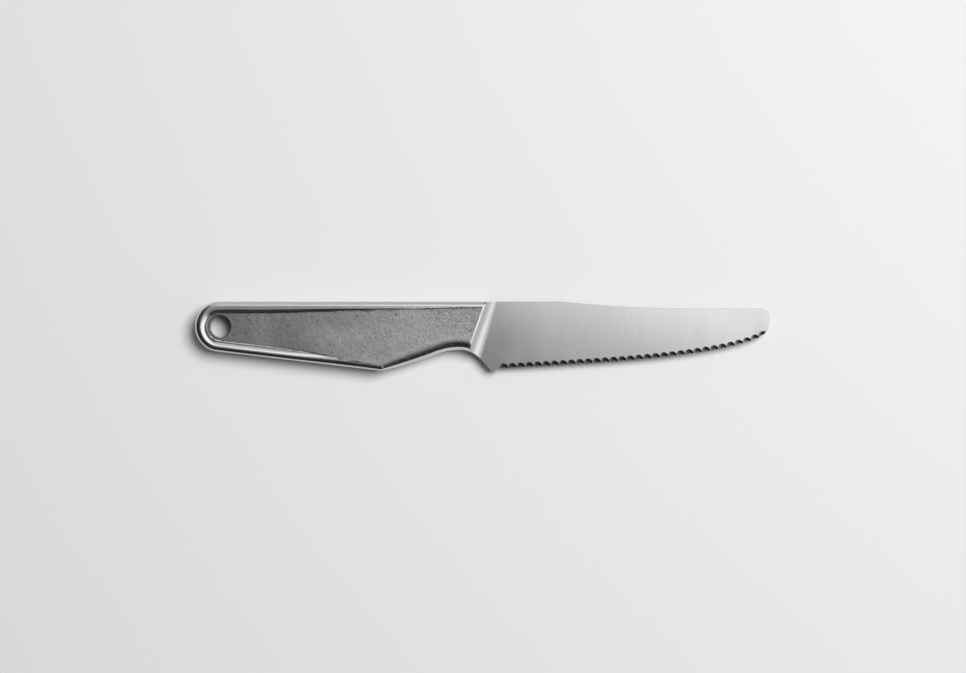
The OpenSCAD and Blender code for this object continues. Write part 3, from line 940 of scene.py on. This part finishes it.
def handleSteel(name):
    made, t, shader, place = surface(name)
    skin = use(t, skinTree, Place=place, Skin=attribute(t, "skin"), Ragged=1.6)
    flow = t.node("ShaderNodeCombineXYZ")
    t.feed(flow.inputs[0], attribute(t, "inset"))
    t.feed(flow.inputs[1], attribute(t, "way"))
    ground = use(t, linesTree, Place=flow.outputs[0], Depth=finish["handleLines"])
    sheen = use(t, smearTree, Place=place, Size=9.0)
    polished = t.tint(ground["Tone"], finish["steel"], finish["steelBright"])
    raw = t.tint(t.span(skin["Tone"], 0.36, 0.62), finish["skinDark"], finish["skinPale"])
    x, y = t.apart(place)
    paintedLightRamp = t.span(x, -93, -64, *finish["paintedLightRamp"])  # painted light: the skin's colour is lightened towards the bolster, where the web reflects more light
    # painted light: a further lightening from X -50 to -22, towards the bolster
    raw = t.scaled(raw, t.math("MULTIPLY", paintedLightRamp, t.span(x, -50, -22, 1.0, 1.1)))
    raw = t.tint(t.math("MULTIPLY", skin["Pits"], 0.75), raw, finish["pitTone"])
    # painted shade beside the rim, fuller towards the bolster where the recess is too shallow to cast it
    raw = t.tint(t.math("MULTIPLY", skin["RimShade"], t.span(x, -76, -52, 0.2, 0.9)), raw, finish["rimShadeTone"])
    t.feed(shader.inputs["Base Color"], t.tint(skin["Mask"], polished, raw))
    glossy = t.blend(sheen["Mask"], *finish["rimRough"])
    matt = t.span(skin["Tone"], 0.3, 0.7, finish["skinRough"][1], finish["skinRough"][0])
    t.feed(shader.inputs["Roughness"], t.blend(skin["Mask"], glossy, matt))
    height = t.blend(skin["Mask"], ground["Height"], t.math("MULTIPLY", skin["Height"], finish["skinRelief"]))
    bump(t, shader, height)
    return made


rimMetal = handleSteel("polishedSteel")
webMetal = handleSteel("forgedSteel")

boreMetal, t, shader, place = surface("reamedSteel")
ground = use(t, linesTree, Place=t.place(place, (0.3, 1, 3)), Depth=finish["handleLines"])
sheen = use(t, smearTree, Place=place, Size=4.0)
# painted shade: the hole's wall and lip are coloured dark so that the hole reads as shaded
t.feed(shader.inputs["Base Color"], t.tint(ground["Tone"], finish["boreShadeDark"], finish["boreShadePale"]))
t.feed(shader.inputs["Roughness"], t.blend(sheen["Mask"], *finish["boreRough"]))
bump(t, shader, ground["Height"])

coveMetal, t, shader, place = surface("linishedSteel")
ground = use(t, linesTree, Place=t.place(place, turned=plan["crestLean"]), Depth=finish["coveLines"])
sheen = use(t, smearTree, Place=place, Size=7.0)
t.feed(shader.inputs["Base Color"], t.tint(ground["Tone"], finish["coveDark"], finish["covePale"]))
t.feed(shader.inputs["Roughness"], t.blend(sheen["Mask"], *finish["coveRough"]))
bump(t, shader, ground["Height"])

bladeMetal, t, shader, place = surface("satinSteel")
ground = use(t, linesTree, Place=t.place(place, turned=4.0), Depth=finish["bladeLines"])
sheen = use(t, smearTree, Place=place, Size=14.0)
gullet = attribute(t, "gullet")
satin = t.tint(ground["Tone"], finish["satinDark"], finish["satinPale"])
x, y = t.apart(place)
heelShadeMask = t.math("MULTIPLY", t.span(x, 4, 30, 1.0, 0.0), t.span(y, -4, 9, 1.0, 0.0))
satin = t.scaled(satin, t.span(heelShadeMask, 0.0, 1.0, 1.0, finish["heelShade"], kind="LINEAR"))  # painted shade: the satin colour is darkened low on the heel, beside the cove
# painted shade: the gullets' faces get a dark colour, standing in for the dark they reflect
t.feed(shader.inputs["Base Color"], t.tint(gullet, satin, finish["gulletShadeTone"]))
rough = t.blend(sheen["Mask"], *finish["bladeRough"])
t.feed(shader.inputs["Roughness"], t.blend(gullet, rough, finish["gulletRough"]))
bump(t, shader, ground["Height"])

for piece, material, slot in (
    (rimPiece, rimMetal, "polished_rim"),
    (webPiece, webMetal, "raw_web"),
    (lipPiece, boreMetal, "raw_web"),
    (bolsterPiece, coveMetal, "polished_bolster"),
    (bladePiece, bladeMetal, "satin_blade"),
):
    piece.data.materials.clear()
    piece.data.materials.append(material)
    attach(piece, "root")
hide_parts("spine_rail", "butt_loop", "belly_rail", "finger_notch")
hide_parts("handle_web")
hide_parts("bolster")
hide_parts("blade")
print("materials given")

# floor, light and camera
studio = {
    "view": 0.3478,  # width that the photograph shows at the knife, in metres
    "distance": 0.80,
    "floorTone": (0.80, 0.80, 0.80, 1),
    "towards": (0.82, 0.57, 0.0),
    "sky": [
        (-1.0, 0.02), (-0.4, 0.03), (-0.24, 0.07), (-0.17, 0.16), (-0.11, 0.34), (-0.05, 0.41), (-0.02, 0.50),
        (0.01, 0.80), (0.04, 1.22), (0.08, 1.42), (0.25, 1.6), (0.46, 1.7), (0.6, 1.0), (0.75, 0.4), (1.0, 0.3),
    ],
    "above": (-0.2, 0.98, 0.0),
    "dimAbove": [(-1.0, 1.0), (0.28, 1.0), (0.5, 0.42), (1.0, 0.42)],
    "below": (0.34, 0.94, 0.0),
    "dimBelow": [(-1.0, 0.1), (-0.6, 0.14), (-0.3, 0.33), (-0.15, 0.65), (-0.06, 0.93), (0.0, 1.0), (1.0, 1.0)],
    "fill": 0.03,
    "onFloor": 0.26,
    "even": 0.06,
    "lamp": 25.2,
    "lampSize": 0.95,
    "lampAt": (0.62, 0.45, 1.40),
    "backdrop": 0.85,
    "cameraAt": (0.00014, -0.00014, 0.0065),
}
deselect()
bpy.ops.mesh.primitive_plane_add(size=6, location=(0, 0, -0.00005))
floor = bpy.context.object
floor.name = "floor"
paper, t, shader, place = surface("palePaper", 0.0)
shader.inputs["Base Color"].default_value = studio["floorTone"]
shader.inputs["Roughness"].default_value = 0.75
shader.inputs["Specular IOR Level"].default_value = 0.2
floor.data.materials.append(paper)

world = bpy.data.worlds.new("studio")
bpy.context.scene.world = world
world.use_nodes = True
t = Tree(world.node_tree)
background = world.node_tree.nodes["Background"]
skyPlace = t.node("ShaderNodeTexCoord").outputs["Generated"]


def skyCurve(t, direction, points, top):  # a level read off a curve over the height along a direction
    height = t.node("ShaderNodeVectorMath", operation="DOT_PRODUCT")
    t.feed(height.inputs[0], skyPlace)
    height.inputs[1].default_value = direction
    made = t.node("ShaderNodeFloatCurve")
    curve = made.mapping.curves[0]
    for spot, (at, level) in zip(list(curve.points), (points[0], points[-1])):
        spot.location = (at / 2 + 0.5, level / top)
    for at, level in points[1:-1]:
        curve.points.new(at / 2 + 0.5, level / top)
    for spot in curve.points:
        spot.handle_type = "VECTOR"
    made.mapping.update()
    t.feed(made.inputs["Value"], t.math("MULTIPLY_ADD", height.outputs["Value"], 0.5, 0.5))
    return t.math("MULTIPLY", made.outputs[0], top)


bright = skyCurve(t, studio["towards"], studio["sky"], 2.0)
bright = t.math("MULTIPLY", bright, skyCurve(t, studio["above"], studio["dimAbove"], 1.0))
bright = t.math("MULTIPLY", bright, skyCurve(t, studio["below"], studio["dimBelow"], 1.0))
bright = t.math("ADD", bright, studio["fill"])
path = t.node("ShaderNodeLightPath").outputs
onFloor = t.math("MULTIPLY_ADD", bright, studio["onFloor"], studio["even"])
bright = t.blend(path["Is Diffuse Ray"], bright, onFloor)
t.feed(background.inputs["Strength"], t.blend(path["Is Camera Ray"], bright, studio["backdrop"]))
background.inputs["Color"].default_value = (1, 1, 1, 1)

lampData = bpy.data.lights.new("softLamp", "AREA")
lampData.shape = "DISK"
lampData.size = studio["lampSize"]
lampData.energy = studio["lamp"]
lamp = bpy.data.objects.new("softLamp", lampData)
lamp.visible_glossy = False  # the steel mirrors the sky alone
bpy.context.collection.objects.link(lamp)
lamp.location = studio["lampAt"]
lamp.rotation_euler = Vector(studio["lampAt"]).to_track_quat("Z", "Y").to_euler()

cameraData = bpy.data.cameras.new("camera")
cameraData.sensor_width = 36
cameraData.lens = 36 * studio["distance"] / studio["view"]
camera = bpy.data.objects.new("camera", cameraData)
bpy.context.collection.objects.link(camera)
camera.location = Vector(studio["cameraAt"]) + Vector((0, 0, studio["distance"]))
bpy.context.scene.camera = camera
bpy.context.scene.view_settings.view_transform = "Standard"
print("studio set")
